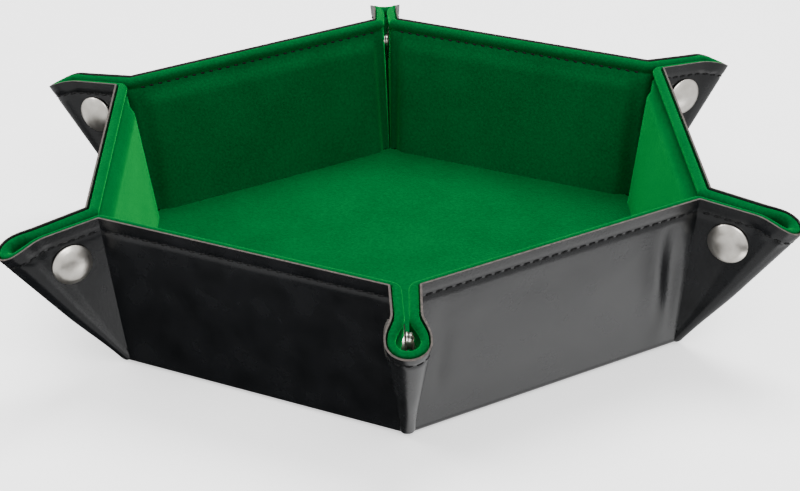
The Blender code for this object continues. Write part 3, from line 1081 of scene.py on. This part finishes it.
stitched = {}
for number in range(1, SIDES + 1):
    stitched[f"wall {number}"] = wall_stitches(number)
    stitched[f"corner {number}"] = gusset_stitches(number)
print("stitches on each side:", {name: count for name, (_, count) in stitched.items()})

for number in range(1, SIDES + 1):
    for kind, panels, gussets in (
        ("leather", wall_leathers, gusset_leathers),
        ("velvet", wall_velvets, gusset_velvets),
    ):
        at_fold, at_corner = [velvet_rolls[number]], [creases[number, side, kind] for side in "ab"]
        if kind == "leather":
            at_fold = [bottom_folds[number], stitched[f"wall {number}"][0]]
            at_corner.append(stitched[f"corner {number}"][0])
        obj, (deep, wide, area) = panels[number]
        obj, (deep, wide, area) = gussets[number]
print("declared", 2 * SIDES * 2 + 2, "sheets")

# %% [markdown]
# ## Snaps
# Each corner closes with one press snap. Outside, both flaps carry a domed cap with a rolled edge.
# Inside, one flap has the socket and the other the stud that presses into it. All four parts are
# turned shapes, so each is a profile spun about its axis.

# %% Snaps
SPIN_STEPS = 48
# Profiles as (radius, height) in mm over the leather. Heights under 1 in a socket or a stud are
# measured from the plane where the two halves meet.
CAP = [(0, -2.5), (1.5, -2.46), (3.0, -2.28), (4.3, -1.94), (5.2, -1.52), (5.75, -1.14),
       (6.05, -0.98), (6.22, -0.8), (6.25, -0.58), (6.14, -0.38), (5.9, -0.26), (5.5, -0.24),
       (1.7, -0.24), (1.6, 0.2)]
SOCKET = [(1.6, 1.25), (4.6, 1.25), (5.0, 1.35), (5.2, 1.65), (5.2, -0.75), (5.05, -0.45),
          (4.6, -0.28), (4.0, -0.2), (3.3, -0.2), (2.95, -0.3), (2.8, -0.6), (2.8, 2.1),
          (2.6, 1.9), (0, 1.9)]
STUD = [(1.6, 1.25), (4.7, 1.25), (4.95, 1.4), (5.0, 1.75), (4.9, 2.05), (4.6, 2.2),
        (3.1, 2.2), (2.6, 2.4), (2.35, 2.8), (2.3, -0.6), (2.45, -0.1), (2.5, 0.25),
        (2.35, 0.55), (1.9, 0.74), (1.1, 0.8), (0, 0.8)]


def spun(name, profile, matrix):
    """A solid of revolution about its own Z from (radius, height) points in millimetres."""
    radius, height = np.array(profile).T * MM
    angle = np.linspace(0, 2 * pi, SPIN_STEPS + 1)
    points = np.dstack([radius[:, None] * np.cos(angle), radius[:, None] * np.sin(angle),
                        height[:, None] + angle * 0]).reshape(-1, 3)
    quads = grid_faces(np.arange(len(points)).reshape(len(radius), -1))
    nothing = np.zeros(len(points))
    points, faces, _, _ = joined(points, quads, np.zeros(len(quads), bool), nothing)
    return make_mesh(name, carried(matrix, points), faces, [NICKEL_FINISH], sharp=50)


def make_snap(number, half):
    flap = SNAP_NODES[half]
    at = snap_place(number, half)
    at[2] = 0
    stands = standing_corner(number)
    if half == "stud":
        stands = turned(f"gusset_{number}_b_fold", -1) @ stands
    to_corner = facing_corner(number).inverted()
    outer = to_corner @ stands @ Vector(at)
    meeting = abs(outer.y / (to_corner @ stands).to_3x3().col[2].y)  # height where the halves meet
    profile = SOCKET if half == "socket" else STUD
    inner = [(r, h + meeting / MM if h < 1 else h) for r, h in profile]
    name = f"snap_{number}_{half}_metal"
    obj = spun(name, CAP + inner, stands @ Matrix.Translation(at))
    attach(obj, f"gusset_{number}_{flap}")
    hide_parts(f"snap_{number}_{half}")
    return meeting


meetings = [make_snap(number, half) for number in range(1, SIDES + 1) for half in SNAP_NODES]
print("snap halves meet", round(meetings[0] / MM, 2), "mm over the leather")

# %% [markdown]
# ## Camera
# The camera looks a little down on one corner from about two thirds of a metre, as for a product
# picture. It is turned by a degree, and its lens is shifted, so the tray stands level and central.

# %% Camera
ELEVATION, AZIMUTH, ROLL = radians(27.35), radians(-1.06), radians(1.36)
DISTANCE = 0.667

back = Vector((sin(AZIMUTH) * cos(ELEVATION), -cos(AZIMUTH) * cos(ELEVATION), sin(ELEVATION)))
level_right = (-back).cross(Vector((0, 0, 1))).normalized()
level_up = level_right.cross(-back)
right = level_right * cos(ROLL) - level_up * sin(ROLL)
up = level_right * sin(ROLL) + level_up * cos(ROLL)
camera_data = bpy.data.cameras.new("camera")
camera_data.lens = 92.8
camera_data.sensor_width = 36
camera_data.shift_x = 0.00275
camera_data.shift_y = 0.04175
camera_data.clip_start = 0.01
camera = placed("camera", camera_data)
looking = Matrix((right, up, back)).transposed().to_4x4()
camera.matrix_world = Matrix.Translation(back * DISTANCE) @ looking
bpy.context.scene.camera = camera
print("camera at", [round(v, 3) for v in camera.location])

# %% [markdown]
# ## Table and reflecting cards
# The tray stands on white acrylic lit from below. Coated leather is a dull mirror, and a wall that
# leans out shows what lies in front of it, low down. So cards hang under the table: a dark one gives
# the left wall its black gloss, a bright one the right wall its grey, and a dark one beside that
# deepens the front corner. Only reflections see the cards, and they don't see the table.

# %% Table and cards
WHITE = linear("#ffffff")
TABLE_HALF, TABLE_DROP, CLOUD = 4.0, 0.3 * MM, 40  # half its side, how far under the tray, mm
CARD_DEPTH = 0.15  # how far below the table the cards hang


def stage_panel(name, corners, material, height):
    """One flat face of the studio, at this height."""
    mesh = bpy.data.meshes.new(name)
    mesh.from_pydata([tuple(corner) for corner in corners], [], [(0, 1, 2, 3)])
    mesh.materials.append(material)
    panel = placed(name, mesh)
    panel.location.z = height
    panel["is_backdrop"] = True
    return panel


def stage_floor():
    material, tree, shader, place = finish(
        "white_acrylic_sheet",
        Roughness=0.35,
        Specular_IOR_Level=0.25,
        Emission_Color=WHITE,
        Emission_Strength=0.9,
    )
    clouds = {"Vector": place, "Scale": per_mm(CLOUD), "Detail": 2}
    haze = add(tree, "ShaderNodeTexNoise", clouds).outputs["Fac"]
    drive(tree, shader, Base_Color=mixed(tree, haze, "#f6f6f6", "#f9f9f9"))
    around = ((-1, -1), (1, -1), (1, 1), (-1, 1))
    corners = [(TABLE_HALF * x, TABLE_HALF * y, 0) for x, y in around]
    floor = stage_panel("studio_floor", corners, material, -TABLE_DROP)
    floor.visible_glossy = False  # gloss sees past it, to the cards and the white room below


def reflector(name, wall, along_ends, out_ends, near_glow, glow):
    """A card that only reflections see, hung below the table in front of a wall. Its glow grows
    from its near edge out, so that a wall darkens towards its foot."""
    out = Vector((cos(SECTOR * (wall - 1)), sin(SECTOR * (wall - 1)), 0))
    along = Vector((-out.y, out.x, 0))
    near, far = [out * (FOLD_APOTHEM + end) for end in out_ends]
    first, last = [along * end for end in along_ends]
    material, tree, shader, place = finish(
        name,
        Roughness=1.0,
        Specular_IOR_Level=0.0,
        Base_Color=linear("#000000"),
        Emission_Color=WHITE,
    )
    depth = add(tree, "ShaderNodeVectorMath", {0: place, 1: out}, operation="DOT_PRODUCT")
    start = FOLD_APOTHEM + out_ends[0]
    span = {"From Min": start, "From Max": start + 0.75 * (out_ends[1] - out_ends[0])}
    glows = {"Value": depth.outputs["Value"], **span, "To Min": near_glow, "To Max": glow}
    drive(tree, shader, Emission_Strength=add(tree, "ShaderNodeMapRange", glows).outputs["Result"])
    corners = [near + first, near + last, far + last, far + first]
    card = stage_panel(name, corners, material, -CARD_DEPTH)
    card.visible_camera = card.visible_diffuse = False
    card.visible_shadow = card.visible_transmission = False


stage_floor()
reflector("dark_card", 5, (-0.36, 0.02), (-0.13, 0.26), 0.04, 0.04)
reflector("bright_card", 6, (0.0, 0.3), (0.07, 0.19), 0.7, 4.0)
reflector("front_card", 6, (-0.3, 0.1), (0.22, 0.5), 0.04, 0.04)
print("table and three cards, the cards", CARD_DEPTH, "m below it")

# %% [markdown]
# ## Room and lights
# A white room gives most of the light and the gloss its grey. Over it, one soft lamp hangs high
# behind the tray and draws the rims. A weaker one fills from the front and another from the left.

# %% Room and lights


def soft_light(name, place, size, watts, target=(0, 0, 0.02)):
    data = bpy.data.lights.new(name, "AREA")
    data.shape = "DISK"
    data.size = size
    data.energy = watts
    light = placed(name, data)
    light.location = place
    light.rotation_euler = (Vector(place) - Vector(target)).to_track_quat("Z", "Y").to_euler()


world = bpy.data.worlds.new("studio")
world.use_nodes = True
room = world.node_tree.nodes["Background"].inputs
room["Color"].default_value, room["Strength"].default_value = WHITE, 1.0
bpy.context.scene.world = world
soft_light("key", (0.2, 0.5, 1.15), 0.7, 23)
soft_light("front", (0.3, -1.0, 1.0), 0.9, 15)
soft_light("left", (-1.0, 0.0, 0.9), 0.6, 8)
print("studio ready")

# %% Sizes and finish
visual_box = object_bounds()
for label, box in (("frame", cad_box), ("dressed", visual_box)):
    print(label, [round((high - low) / MM, 1) for low, high in zip(*box)], "mm")
